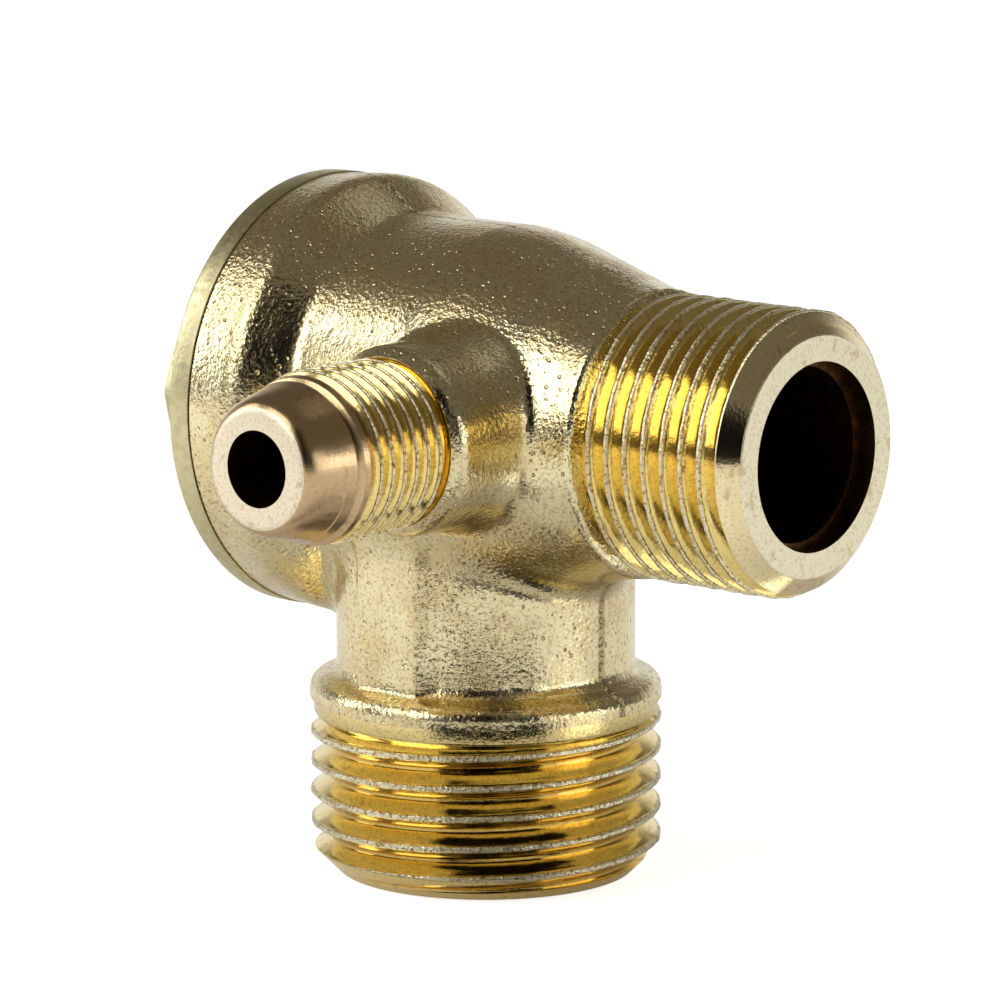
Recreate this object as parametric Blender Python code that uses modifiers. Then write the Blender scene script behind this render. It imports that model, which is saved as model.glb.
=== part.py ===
"""Three-way non-return valve for a small air compressor: a brass forging closed by a screwed cap.

Metres, +Z up. The valve stands on the foot of its tank port, whose centre is the origin and whose
axis is Z. The pump inlet points along +X, the unloader port along -Y, and the cap along -X.
Air that enters at the inlet lifts a sprung poppet off its seat and leaves through the tank port.
"""

import math

import bmesh
import bpy

MM = 0.001
GAP = 0.3 * MM                      # clearance between pieces that touch or slide
OVERRUN = 1.0 * MM                  # how far a cutter runs past the face that it opens

# Where the two horizontal axes lie
AXIS_HEIGHT = 27.7 * MM             # inlet and cap axis above the foot
UNLOADER_OFFSET = 4.9 * MM          # unloader axis ahead of the tank port's axis, towards the inlet
UNLOADER_RISE = 0.5 * MM            # unloader axis above the inlet axis

# Tank port, G 1/2 male, and the neck above it
TANK_THREAD_RADIUS = 10.48 * MM
TANK_THREAD_TOP = 10.5 * MM         # end of the turned thread cylinder
TANK_CHAMFER = 1.4 * MM
TANK_WALL = 3.28 * MM               # thread crest to bore
TANK_RELIEF_DEPTH = 0.25 * MM       # plain band between the thread and the collar
TANK_RELIEF_LENGTH = 1.2 * MM
COLLAR_PROUD = 0.07 * MM
COLLAR_HEIGHT = 1.5 * MM
COLLAR_ROUND = 0.6 * MM
COLLAR_ROUND_ANGLES = (80.0, 60.0, 40.0, 20.0, 0.0)
COLLAR_SLOPE = 0.4 * MM             # fall of the collar's upper face
NECK_WALL = 1.73 * MM
NECK_FILLET = 0.25 * MM
NECK_LAND_WIDTH = 4.8 * MM          # flat raised land down the front of the neck
NECK_LAND_PROUD = 0.25 * MM
NECK_LAND_OFFSET = 0.3 * MM         # middle of the land, ahead of the neck's axis

# Pump inlet, G 3/8 male
INLET_FACE = 24.7 * MM              # end face, from the tank port's axis
INLET_THREAD_RADIUS = 8.33 * MM
INLET_THREAD_LENGTH = 10.6 * MM
INLET_CHAMFER_LENGTH = 0.9 * MM
INLET_CHAMFER_DEPTH = 1.38 * MM
INLET_RELIEF_DEPTH = 0.83 * MM      # groove where the thread ends
INLET_RELIEF_LENGTH = 0.8 * MM
INLET_WALL = 3.23 * MM              # thread crest to bore
INLET_MOUTH_STEP = 0.38 * MM
INLET_MOUTH_DEPTH = 1.3 * MM

# Outside of the chamber: wall, taper to the inlet, flange towards the cap
CHAMBER_WALL = 2.6 * MM
TAPER_START = 1.8 * MM              # where the chamber starts to taper towards the inlet
TAPER_BEND_LENGTH = 2.2 * MM        # rounded start of the taper
TAPER_BEND_DROP = 0.27 * MM
TAPER_END_STEP = 0.17 * MM          # end of the taper above the inlet thread's crests
TAPER_END_LENGTH = 0.8 * MM         # straight stretch at the taper's end
FLANGE_WALL = 1.65 * MM             # outside the seal ring's pocket
FLANGE_DRAFT = 0.25 * MM
FLANGE_THICKNESS = 3.4 * MM
SHOULDER_LENGTH = 2.8 * MM
SHOULDER_POINTS = 5

# Unloader port, M10 x 1 male, on its forged boss
UNLOADER_REACH = 25.4 * MM          # nose, from the tank port's axis
UNLOADER_THREAD_RADIUS = 5.0 * MM
UNLOADER_THREAD_DEPTH = 0.56 * MM
UNLOADER_THREAD_LEAD = 1.4 * MM     # from the nose's end to the first full crest
UNLOADER_THREAD_LENGTH = 8.2 * MM
UNLOADER_NOSE_LENGTH = 2.6 * MM
UNLOADER_NOSE_ROUNDING = 0.33       # lower is blunter
UNLOADER_NOSE_POINTS = 6
UNLOADER_BORE_RADIUS = 2.2 * MM
UNLOADER_RIM_WIDTH = 0.95 * MM
BOSS_STEP = 0.6 * MM                # forged boss above the thread's crests
BOSS_EDGE = 0.3 * MM
BOSS_ROOT_FLARE = 0.6 * MM
BOSS_ROOT_START = 0.84 * MM         # where the root starts to flare, below the chamber's wall
BOSS_ROOT_MIDDLE = 1.68 * MM
BOSS_ROOT_END = 2.94 * MM
BOSS_ROOT_MIDDLE_SHARE = 0.3        # of the flare, reached at the root's middle

# Passages inside the forging
SEAT_PLACE = 0.6 * MM               # face of the seat lip, behind the tank port's axis
SEAT_LIP_HEIGHT = 0.8 * MM
SEAT_LIP_WIDTH = 1.0 * MM
SEAT_LIP_DRAFT = 0.3 * MM
SEAL_OVERLAP = 0.5 * MM             # rubber disc past the lip's outer edge
FLOW_ROOM = 1.1 * MM                # ring-shaped passage round the poppet
BRIDGE_THICKNESS = 2.2 * MM         # metal between the tank bore and the inlet bore
DRILL_POINT = 0.4 * MM
DRILL_CORNER = 1.2 * MM

# Poppet with its rubber disc
POPPET_LIP = 0.6 * MM               # wall and depth of the cup that holds the disc
POPPET_THICKNESS = 3.0 * MM
POPPET_EDGE = 0.3 * MM
POPPET_ROOM = 3.2 * MM              # from the poppet's back to the cap's spigot, valve closed
STEM_RADIUS = 2.4 * MM
STEM_ENGAGEMENT = 2.7 * MM          # stem inside its guide, valve closed
SEAL_DISC_THICKNESS = 2.0 * MM
SEAL_DISC_EDGE = 0.2 * MM

# Cap: flange, hexagon and M20 x 1.5 spigot, with a spring pocket and a guide tube
CAP_THREAD_STEP = 1.4 * MM          # thread outside the chamber's bore
CAP_THREAD_DEPTH = 4.6 * MM         # from the joint face to the end of the thread
CAP_THREAD_RUNOUT = 0.5 * MM
CAP_THREAD_BEVEL = 0.8 * MM
CAP_FLANGE_PROUD = 0.1 * MM         # past the forging's rim
CAP_FLANGE_THICKNESS = 1.3 * MM
CAP_FLANGE_EDGE = 0.2 * MM
CAP_HEX_ACROSS_FLATS = 19.0 * MM
CAP_HEX_HEIGHT = 3.6 * MM
CAP_HEX_TURN = math.radians(-4.0)
CAP_HEX_CHAMFER = math.radians(30.0)
CAP_HEX_FACE_SHARE = 0.95           # flat end face of the hexagon, of its width across flats
CAP_FLOOR = 2.8 * MM
GUIDE_WALL = 0.8 * MM
GUIDE_RECESS = 1.3 * MM             # guide tube's mouth, back from the spigot's end
GUIDE_SINK = 0.8 * MM               # guide bore, deeper than the pocket's floor

# Seal ring between the cap and the forging
RING_WIRE_RADIUS = 0.75 * MM
RING_NECK_DEPTH = 0.35 * MM         # spigot's neck, below its thread
RING_WIRE_STEPS = 10

# Closing spring
SPRING_WIRE_RADIUS = 0.35 * MM
SPRING_GUIDE_ROOM = 0.55 * MM       # from the guide tube to the wire
SPRING_POCKET_ROOM = 1.45 * MM      # from the wire to the pocket's wall
SPRING_TURNS = 6.5
SPRING_END_TURNS = 0.75             # closed turn at each end
SPRING_END_PITCH = 1.1              # of a closed turn, in wire diameters
SPRING_POINTS_PER_TURN = 16

COARSE = 32
FINE = 48

# Radii that follow from the sizes above
TANK_BORE_RADIUS = TANK_THREAD_RADIUS - TANK_WALL
NECK_RADIUS = TANK_BORE_RADIUS + NECK_WALL
INLET_BORE_RADIUS = INLET_THREAD_RADIUS - INLET_WALL
SEAT_LIP_RADIUS = INLET_BORE_RADIUS + SEAT_LIP_WIDTH
SEAL_DISC_RADIUS = SEAT_LIP_RADIUS + SEAL_OVERLAP
CUP_RADIUS = SEAL_DISC_RADIUS + GAP
POPPET_RADIUS = CUP_RADIUS + POPPET_LIP
CHAMBER_BORE_RADIUS = POPPET_RADIUS + FLOW_ROOM
CHAMBER_RADIUS = CHAMBER_BORE_RADIUS + CHAMBER_WALL
CAP_THREAD_RADIUS = CHAMBER_BORE_RADIUS + CAP_THREAD_STEP
SPIGOT_RADIUS = CAP_THREAD_RADIUS - GAP
SPIGOT_NECK_RADIUS = SPIGOT_RADIUS - RING_NECK_DEPTH
RING_MEAN_RADIUS = SPIGOT_NECK_RADIUS + GAP + RING_WIRE_RADIUS
RING_POCKET_RADIUS = RING_MEAN_RADIUS + RING_WIRE_RADIUS + GAP
FLANGE_RADIUS = RING_POCKET_RADIUS + FLANGE_WALL
FLANGE_BACK_RADIUS = FLANGE_RADIUS + FLANGE_DRAFT
CAP_FLANGE_RADIUS = FLANGE_RADIUS + CAP_FLANGE_PROUD
GUIDE_RADIUS = STEM_RADIUS + GAP
GUIDE_OUTER_RADIUS = GUIDE_RADIUS + GUIDE_WALL
SPRING_MEAN_RADIUS = GUIDE_OUTER_RADIUS + SPRING_GUIDE_ROOM + SPRING_WIRE_RADIUS
CAP_POCKET_RADIUS = SPRING_MEAN_RADIUS + SPRING_WIRE_RADIUS + SPRING_POCKET_ROOM
UNLOADER_RIM_RADIUS = UNLOADER_BORE_RADIUS + UNLOADER_RIM_WIDTH
BOSS_RADIUS = UNLOADER_THREAD_RADIUS + BOSS_STEP
UNLOADER_HEIGHT = AXIS_HEIGHT + UNLOADER_RISE

# Places along the inlet axis, from the seat back to the cap
INLET_THREAD_START = INLET_FACE - INLET_THREAD_LENGTH
CHAMBER_END = SEAT_LIP_HEIGHT - SEAT_PLACE
SEAL_FRONT = -SEAT_PLACE - GAP
SEAL_BACK = SEAL_FRONT - SEAL_DISC_THICKNESS
POPPET_FRONT = SEAL_FRONT - POPPET_LIP
POPPET_BACK = POPPET_FRONT - POPPET_THICKNESS
SPIGOT_END = POPPET_BACK - POPPET_ROOM
THREAD_END = SPIGOT_END + CAP_THREAD_RUNOUT
JOINT_FACE = THREAD_END - CAP_THREAD_DEPTH
FLANGE_BACK = JOINT_FACE + FLANGE_THICKNESS
CAP_SEAT = JOINT_FACE - GAP
RING_ROOM = 2 * (RING_WIRE_RADIUS + GAP)
CAP_BACK = CAP_SEAT - CAP_FLANGE_THICKNESS
HEX_END = CAP_BACK - CAP_HEX_HEIGHT
POCKET_FLOOR = HEX_END + CAP_FLOOR
GUIDE_END = SPIGOT_END - GUIDE_RECESS
STEM_END = GUIDE_END - STEM_ENGAGEMENT
SPRING_FRONT = POPPET_BACK - GAP
SPRING_BACK = POCKET_FLOOR + GAP


def clear_scene():
    for item in list(bpy.data.objects):
        bpy.data.objects.remove(item, do_unlink=True)


def new_collection(name):
    made = bpy.data.collections.new(name)
    bpy.context.scene.collection.children.link(made)
    return made


def new_material(name, colour, roughness, metallic):
    made = bpy.data.materials.new(name)
    made.use_nodes = True
    shader = made.node_tree.nodes["Principled BSDF"]
    shader.inputs["Base Color"].default_value = (*colour, 1.0)
    shader.inputs["Roughness"].default_value = roughness
    shader.inputs["Metallic"].default_value = metallic
    made.diffuse_color = (*colour, 1.0)
    return made


def new_object(name, mesh, collection):
    made = bpy.data.objects.new(name, mesh)
    collection.objects.link(made)
    return made


def place(item, direction, at=(0.0, 0.0, 0.0)):
    """Points an object's own +Z along one of the valve's axes, at a place in the valve's frame."""
    turns = {
        "+Z": (0.0, 0.0, 0.0),
        "+X": (0.0, math.pi / 2, 0.0),
        "-X": (0.0, -math.pi / 2, 0.0),
        "-Y": (math.pi / 2, 0.0, 0.0),
    }
    item.rotation_euler = turns[direction]
    item.location = at
    return item


def turned(name, profile, collection, steps=FINE):
    """A turned solid: (radius, height) points from the top down its outer side, ends on the axis."""
    mesh = bpy.data.meshes.new(name)
    edges = [(k, k + 1) for k in range(len(profile) - 1)]
    mesh.from_pydata([(radius, 0.0, height) for radius, height in profile], edges, [])
    item = new_object(name, mesh, collection)
    screw = item.modifiers.new("turn", "SCREW")
    screw.steps = steps
    screw.render_steps = steps
    screw.use_merge_vertices = True
    screw.merge_threshold = 0.00001
    screw.use_smooth_shade = True
    return item


def turned_on_inlet_axis(name, rising, collection):
    """A turned solid about the inlet axis, from (radius, place along X) points towards +X."""
    return place(turned(name, list(reversed(rising)), collection), "+X", (0.0, 0.0, AXIS_HEIGHT))


def combine(item, operation, others):
    for other in others:
        other.hide_render = True
        other.display_type = "WIRE"
        step = item.modifiers.new(f"{operation.lower()} {other.name}", "BOOLEAN")
        step.operation = operation
        step.solver = "EXACT"
        step.object = other


def flange_shoulder():
    """S-shaped fall from the flange's back edge to the chamber's wall."""
    fall = FLANGE_BACK_RADIUS - CHAMBER_RADIUS
    points = []
    for k in range(1, SHOULDER_POINTS + 1):
        share = k / (SHOULDER_POINTS + 1)
        radius = FLANGE_BACK_RADIUS - fall * (1 - math.cos(math.pi * share)) / 2
        points.append((radius, FLANGE_BACK + SHOULDER_LENGTH * share))
    return points


def forged_trunk(collection):
    """Flange, shoulder, chamber, taper and inlet thread, turned about the inlet axis."""
    relief_start = INLET_THREAD_START - INLET_RELIEF_LENGTH / 2
    relief_end = INLET_THREAD_START + INLET_RELIEF_LENGTH / 2
    taper_end = relief_start - INLET_RELIEF_LENGTH - TAPER_END_LENGTH
    rising = [
        (0.0, JOINT_FACE),
        (FLANGE_RADIUS, JOINT_FACE),
        (FLANGE_BACK_RADIUS, FLANGE_BACK),
        *flange_shoulder(),
        (CHAMBER_RADIUS, FLANGE_BACK + SHOULDER_LENGTH),
        (CHAMBER_RADIUS, TAPER_START),
        (CHAMBER_RADIUS - TAPER_BEND_DROP, TAPER_START + TAPER_BEND_LENGTH),
        (INLET_THREAD_RADIUS + TAPER_END_STEP, taper_end),
        (INLET_THREAD_RADIUS + TAPER_END_STEP, taper_end + TAPER_END_LENGTH),
        (INLET_THREAD_RADIUS - INLET_RELIEF_DEPTH, relief_start),
        (INLET_THREAD_RADIUS - INLET_RELIEF_DEPTH, relief_end - INLET_RELIEF_LENGTH / 2),
        (INLET_THREAD_RADIUS, relief_end),
        (INLET_THREAD_RADIUS, INLET_FACE - INLET_CHAMFER_LENGTH),
        (INLET_THREAD_RADIUS - INLET_CHAMFER_DEPTH, INLET_FACE),
        (0.0, INLET_FACE),
    ]
    return turned_on_inlet_axis("valve_body", rising, collection)


def collar_round(radius, top):
    """Rounded upper edge of the collar, from its upper face down to its side."""
    points = []
    for degrees in COLLAR_ROUND_ANGLES:
        angle = math.radians(degrees)
        across = radius - COLLAR_ROUND + COLLAR_ROUND * math.cos(angle)
        points.append((across, top - COLLAR_ROUND + COLLAR_ROUND * math.sin(angle)))
    return points


def forged_neck(collection):
    """Foot, thread cylinder, plain band, forged collar and neck, turned about the tank port's axis."""
    collar_radius = TANK_THREAD_RADIUS + COLLAR_PROUD
    collar_top = TANK_THREAD_TOP + COLLAR_HEIGHT
    relief = TANK_THREAD_RADIUS - TANK_RELIEF_DEPTH
    falling = [
        (0.0, AXIS_HEIGHT),
        (NECK_RADIUS, AXIS_HEIGHT),
        (NECK_RADIUS, collar_top + NECK_FILLET),
        (NECK_RADIUS + NECK_FILLET, collar_top),
        *collar_round(collar_radius, collar_top - COLLAR_SLOPE),
        (collar_radius, TANK_THREAD_TOP),
        (relief, TANK_THREAD_TOP),
        (relief, TANK_THREAD_TOP - TANK_RELIEF_LENGTH + TANK_RELIEF_DEPTH),
        (TANK_THREAD_RADIUS, TANK_THREAD_TOP - TANK_RELIEF_LENGTH),
        (TANK_THREAD_RADIUS, TANK_CHAMFER),
        (TANK_THREAD_RADIUS - TANK_CHAMFER, 0.0),
        (0.0, 0.0),
    ]
    return place(turned("neck form", falling, collection), "+Z")


def unloader_nose():
    """Blunt rounded cone that seals the pipe, from its rim back to the root of the thread."""
    root = UNLOADER_THREAD_RADIUS - UNLOADER_THREAD_DEPTH
    points = []
    for k in range(UNLOADER_NOSE_POINTS):
        depth = (k / (UNLOADER_NOSE_POINTS - 1)) ** 2
        swell = (root - UNLOADER_RIM_RADIUS) * depth ** UNLOADER_NOSE_ROUNDING
        points.append((UNLOADER_RIM_RADIUS + swell, UNLOADER_REACH - UNLOADER_NOSE_LENGTH * depth))
    return points


def forged_boss(collection):
    """Nose, thread cylinder and boss of the unloader port, with a flared root in the chamber wall."""
    nose_end = UNLOADER_REACH - UNLOADER_NOSE_LENGTH
    thread_end = nose_end - UNLOADER_THREAD_LENGTH
    flare_radius = BOSS_RADIUS + BOSS_ROOT_FLARE
    falling = [
        (0.0, UNLOADER_REACH),
        *unloader_nose(),
        (UNLOADER_THREAD_RADIUS, nose_end - UNLOADER_THREAD_LEAD),
        (UNLOADER_THREAD_RADIUS, thread_end),
        (BOSS_RADIUS - BOSS_EDGE, thread_end),
        (BOSS_RADIUS, thread_end - BOSS_EDGE),
        (BOSS_RADIUS, CHAMBER_RADIUS - BOSS_ROOT_START),
        (BOSS_RADIUS + BOSS_ROOT_MIDDLE_SHARE * BOSS_ROOT_FLARE, CHAMBER_RADIUS - BOSS_ROOT_MIDDLE),
        (flare_radius, CHAMBER_RADIUS - BOSS_ROOT_END),
        (flare_radius, UNLOADER_BORE_RADIUS),
        (0.0, UNLOADER_BORE_RADIUS),
    ]
    boss = turned("boss form", falling, collection)
    return place(boss, "-Y", (UNLOADER_OFFSET, 0.0, UNLOADER_HEIGHT))


def neck_land(collection):
    """Flat land that the forging dies leave down the front of the neck."""
    mesh = bpy.data.meshes.new("neck land form")
    shape = bmesh.new()
    bmesh.ops.create_cube(shape, size=1.0)
    reach = NECK_RADIUS + NECK_LAND_PROUD
    bottom = TANK_THREAD_TOP + COLLAR_HEIGHT - COLLAR_ROUND
    bmesh.ops.scale(shape, vec=(NECK_LAND_WIDTH, reach, AXIS_HEIGHT - bottom), verts=shape.verts)
    shape.to_mesh(mesh)
    shape.free()
    land = new_object("neck land form", mesh, collection)
    land.location = (NECK_LAND_OFFSET, -reach / 2, (AXIS_HEIGHT + bottom) / 2)
    return land


def main_bore(collection):
    """Cap mouth, chamber, seat lip and inlet bore, as one turned cutter about the inlet axis."""
    ring_pocket_end = CAP_SEAT + RING_ROOM
    mouth_radius = INLET_BORE_RADIUS + INLET_MOUTH_STEP
    rising = [
        (0.0, JOINT_FACE - OVERRUN),
        (RING_POCKET_RADIUS, JOINT_FACE - OVERRUN),
        (RING_POCKET_RADIUS, ring_pocket_end),
        (CAP_THREAD_RADIUS, ring_pocket_end),
        (CAP_THREAD_RADIUS, THREAD_END),
        (CHAMBER_BORE_RADIUS, THREAD_END + CAP_THREAD_BEVEL),
        (CHAMBER_BORE_RADIUS, CHAMBER_END),
        (SEAT_LIP_RADIUS + SEAT_LIP_DRAFT, CHAMBER_END),
        (SEAT_LIP_RADIUS, -SEAT_PLACE),
        (INLET_BORE_RADIUS, -SEAT_PLACE),
        (INLET_BORE_RADIUS, INLET_FACE - INLET_MOUTH_DEPTH),
        (mouth_radius, INLET_FACE - INLET_MOUTH_DEPTH),
        (mouth_radius, INLET_FACE + OVERRUN),
        (0.0, INLET_FACE + OVERRUN),
    ]
    return turned_on_inlet_axis("main bore cutter", rising, collection)


def tank_bore(collection):
    """Blind bore up the neck, which breaks into the underside of the chamber behind the seat.

    The cutter is turned by half a facet, so none of its edges lies along an edge of the neck.
    """
    top = AXIS_HEIGHT - INLET_BORE_RADIUS - BRIDGE_THICKNESS
    falling = [
        (0.0, top + DRILL_POINT),
        (TANK_BORE_RADIUS - DRILL_CORNER, top),
        (TANK_BORE_RADIUS, top - DRILL_CORNER),
        (TANK_BORE_RADIUS, -OVERRUN),
        (0.0, -OVERRUN),
    ]
    cutter = place(turned("tank bore cutter", falling, collection), "+Z")
    cutter.rotation_euler.rotate_axis("Z", math.pi / FINE)
    return cutter


def unloader_bore(collection):
    """Small bore from the unloader nose into the inlet passage, ahead of the seat."""
    falling = [
        (0.0, UNLOADER_REACH + OVERRUN),
        (UNLOADER_BORE_RADIUS, UNLOADER_REACH + OVERRUN),
        (UNLOADER_BORE_RADIUS, OVERRUN),
        (0.0, OVERRUN),
    ]
    cutter = turned("unloader bore cutter", falling, collection, COARSE)
    return place(cutter, "-Y", (UNLOADER_OFFSET, 0.0, UNLOADER_HEIGHT))


def valve_body(pieces, helpers, brass):
    """The whole forging in one piece, with its three ports, its seat and its passages."""
    body = forged_trunk(pieces)
    combine(body, "UNION", [forged_neck(helpers), neck_land(helpers), forged_boss(helpers)])
    combine(body, "DIFFERENCE", [main_bore(helpers), tank_bore(helpers), unloader_bore(helpers)])
    body.data.materials.append(brass)


def cap_hexagon(collection):
    """Hexagon prism whose end corners are turned off."""
    corner = CAP_HEX_ACROSS_FLATS / 2 / math.cos(math.pi / 6)
    depth = CAP_HEX_HEIGHT + CAP_FLANGE_THICKNESS / 2
    mesh = bpy.data.meshes.new("cap hexagon form")
    shape = bmesh.new()
    bmesh.ops.create_cone(shape, cap_ends=True, segments=6, radius1=corner, radius2=corner, depth=depth)
    shape.to_mesh(mesh)
    shape.free()
    prism = new_object("cap hexagon form", mesh, collection)
    place(prism, "-X", (HEX_END + depth / 2, 0.0, AXIS_HEIGHT))
    prism.rotation_euler.rotate_axis("Z", CAP_HEX_TURN)
    face = CAP_HEX_FACE_SHARE * CAP_HEX_ACROSS_FLATS / 2
    rim = corner + OVERRUN
    falling = [
        (0.0, 0.0),
        (face, 0.0),
        (rim, -(rim - face) * math.tan(CAP_HEX_CHAMFER)),
        (rim, -depth - OVERRUN),
        (0.0, -depth - OVERRUN),
    ]
    turned_off = turned("cap hexagon chamfer", falling, collection)
    place(turned_off, "-X", (HEX_END, 0.0, AXIS_HEIGHT))
    combine(prism, "INTERSECT", [turned_off])
    return prism


def cap_pocket(collection):
    """Pocket for the spring, round a tube whose bore guides the poppet's stem."""
    rising = [
        (0.0, POCKET_FLOOR - GUIDE_SINK),
        (GUIDE_RADIUS, POCKET_FLOOR - GUIDE_SINK),
        (GUIDE_RADIUS, GUIDE_END),
        (GUIDE_OUTER_RADIUS, GUIDE_END),
        (GUIDE_OUTER_RADIUS, POCKET_FLOOR),
        (CAP_POCKET_RADIUS, POCKET_FLOOR),
        (CAP_POCKET_RADIUS, SPIGOT_END + OVERRUN),
        (0.0, SPIGOT_END + OVERRUN),
    ]
    return turned_on_inlet_axis("cap pocket cutter", rising, collection)


def end_cap(pieces, helpers, brass):
    """Turned from bar: hexagon, flange, neck for the seal ring, and threaded spigot."""
    ring_end = CAP_SEAT + RING_ROOM
    rising = [
        (0.0, CAP_BACK),
        (CAP_FLANGE_RADIUS - CAP_FLANGE_EDGE, CAP_BACK),
        (CAP_FLANGE_RADIUS, CAP_BACK + CAP_FLANGE_EDGE),
        (CAP_FLANGE_RADIUS, CAP_SEAT),
        (SPIGOT_NECK_RADIUS, CAP_SEAT),
        (SPIGOT_NECK_RADIUS, ring_end),
        (SPIGOT_RADIUS, ring_end),
        (SPIGOT_RADIUS, SPIGOT_END - CAP_THREAD_RUNOUT),
        (SPIGOT_RADIUS - CAP_THREAD_RUNOUT, SPIGOT_END),
        (0.0, SPIGOT_END),
    ]
    cap = turned_on_inlet_axis("end_cap", rising, pieces)
    combine(cap, "UNION", [cap_hexagon(helpers)])
    combine(cap, "DIFFERENCE", [cap_pocket(helpers)])
    cap.data.materials.append(brass)


def cap_seal(pieces, rubber):
    """Rubber ring round the spigot's neck, squeezed in the mouth of the forging."""
    bpy.ops.mesh.primitive_torus_add(
        major_radius=RING_MEAN_RADIUS,
        minor_radius=RING_WIRE_RADIUS,
        major_segments=FINE,
        minor_segments=RING_WIRE_STEPS,
    )
    ring = bpy.context.object
    ring.name = "cap_seal"
    ring.data.name = "cap_seal"
    for holder in list(ring.users_collection):
        holder.objects.unlink(ring)
    pieces.objects.link(ring)
    place(ring, "+X", (CAP_SEAT + GAP + RING_WIRE_RADIUS, 0.0, AXIS_HEIGHT))
    ring.data.shade_smooth()
    ring.data.materials.append(rubber)


def carry(item, carrier):
    item.parent = carrier
    item.matrix_parent_inverse = carrier.matrix_world.inverted()


def poppet(pieces, brass, slider):
    """Turned disc with a stem behind it and a shallow cup in front for the rubber disc."""
    rising = [
        (0.0, STEM_END),
        (STEM_RADIUS - POPPET_EDGE, STEM_END),
        (STEM_RADIUS, STEM_END + POPPET_EDGE),
        (STEM_RADIUS, POPPET_BACK),
        (POPPET_RADIUS - POPPET_EDGE, POPPET_BACK),
        (POPPET_RADIUS, POPPET_BACK + POPPET_EDGE),
        (POPPET_RADIUS, POPPET_FRONT),
        (CUP_RADIUS, POPPET_FRONT),
        (CUP_RADIUS, SEAL_BACK - GAP),
        (0.0, SEAL_BACK - GAP),
    ]
    made = turned_on_inlet_axis("poppet", rising, pieces)
    made.data.materials.append(brass)
    carry(made, slider)


def seal_disc(pieces, rubber, slider):
    """Rubber disc that closes on the seat lip."""
    rising = [
        (0.0, SEAL_BACK),
        (SEAL_DISC_RADIUS - SEAL_DISC_EDGE, SEAL_BACK),
        (SEAL_DISC_RADIUS, SEAL_BACK + SEAL_DISC_EDGE),
        (SEAL_DISC_RADIUS, SEAL_FRONT - SEAL_DISC_EDGE),
        (SEAL_DISC_RADIUS - SEAL_DISC_EDGE, SEAL_FRONT),
        (0.0, SEAL_FRONT),
    ]
    made = turned_on_inlet_axis("seal_disc", rising, pieces)
    made.data.materials.append(rubber)
    carry(made, slider)


def coil_points():
    """Centre line of the closing spring, with a closed turn at each end."""
    first = SPRING_BACK + SPRING_WIRE_RADIUS
    last = SPRING_FRONT - SPRING_WIRE_RADIUS
    closed_rise = 2 * SPRING_WIRE_RADIUS * SPRING_END_TURNS * SPRING_END_PITCH
    open_turns = SPRING_TURNS - 2 * SPRING_END_TURNS
    steps = int(SPRING_TURNS * SPRING_POINTS_PER_TURN)
    found = []
    for k in range(steps + 1):
        turn = SPRING_TURNS * k / steps
        low = min(turn, SPRING_END_TURNS)
        middle = min(max(turn - SPRING_END_TURNS, 0.0), open_turns)
        high = max(turn - SPRING_END_TURNS - open_turns, 0.0)
        along = first + (low + high) / SPRING_END_TURNS * closed_rise
        along += middle / open_turns * (last - first - 2 * closed_rise)
        across = SPRING_MEAN_RADIUS * math.cos(2 * math.pi * turn)
        up = SPRING_MEAN_RADIUS * math.sin(2 * math.pi * turn)
        found.append((along, across, AXIS_HEIGHT + up))
    return found


def return_spring(pieces, steel):
    """Wire spring in the cap's pocket, round the guide tube, which presses the poppet shut."""
    curve = bpy.data.curves.new("return_spring", "CURVE")
    curve.dimensions = "3D"
    curve.bevel_depth = SPRING_WIRE_RADIUS
    curve.bevel_resolution = 2
    curve.use_fill_caps = True
    points = coil_points()
    line = curve.splines.new("POLY")
    line.points.add(len(points) - 1)
    for point, found in zip(line.points, points):
        point.co = (*found, 1.0)
    spring = new_object("return_spring", curve, pieces)
    spring.data.materials.append(steel)


def slide_origin(pieces):
    """Empty on the poppet's axis, at the seat, which carries what slides."""
    made = new_object("poppet_slide_origin", None, pieces)
    made.location = (-SEAT_PLACE, 0.0, AXIS_HEIGHT)
    bpy.context.view_layer.update()
    return made


def build():
    clear_scene()
    pieces = new_collection("non_return_valve")
    helpers = new_collection("cutters")
    plated_brass = new_material("plated brass", (0.78, 0.66, 0.42), 0.28, 1.0)
    bare_brass = new_material("turned brass", (0.72, 0.53, 0.25), 0.3, 1.0)
    rubber = new_material("black rubber", (0.02, 0.02, 0.02), 0.7, 0.0)
    steel = new_material("spring steel", (0.55, 0.55, 0.54), 0.35, 1.0)
    slider = slide_origin(pieces)
    valve_body(pieces, helpers, plated_brass)
    end_cap(pieces, helpers, plated_brass)
    cap_seal(pieces, rubber)
    return_spring(pieces, steel)
    poppet(pieces, bare_brass, slider)
    seal_disc(pieces, rubber, slider)


build()
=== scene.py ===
import math

import bpy
import numpy as np
from mathutils import Matrix, Vector


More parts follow.
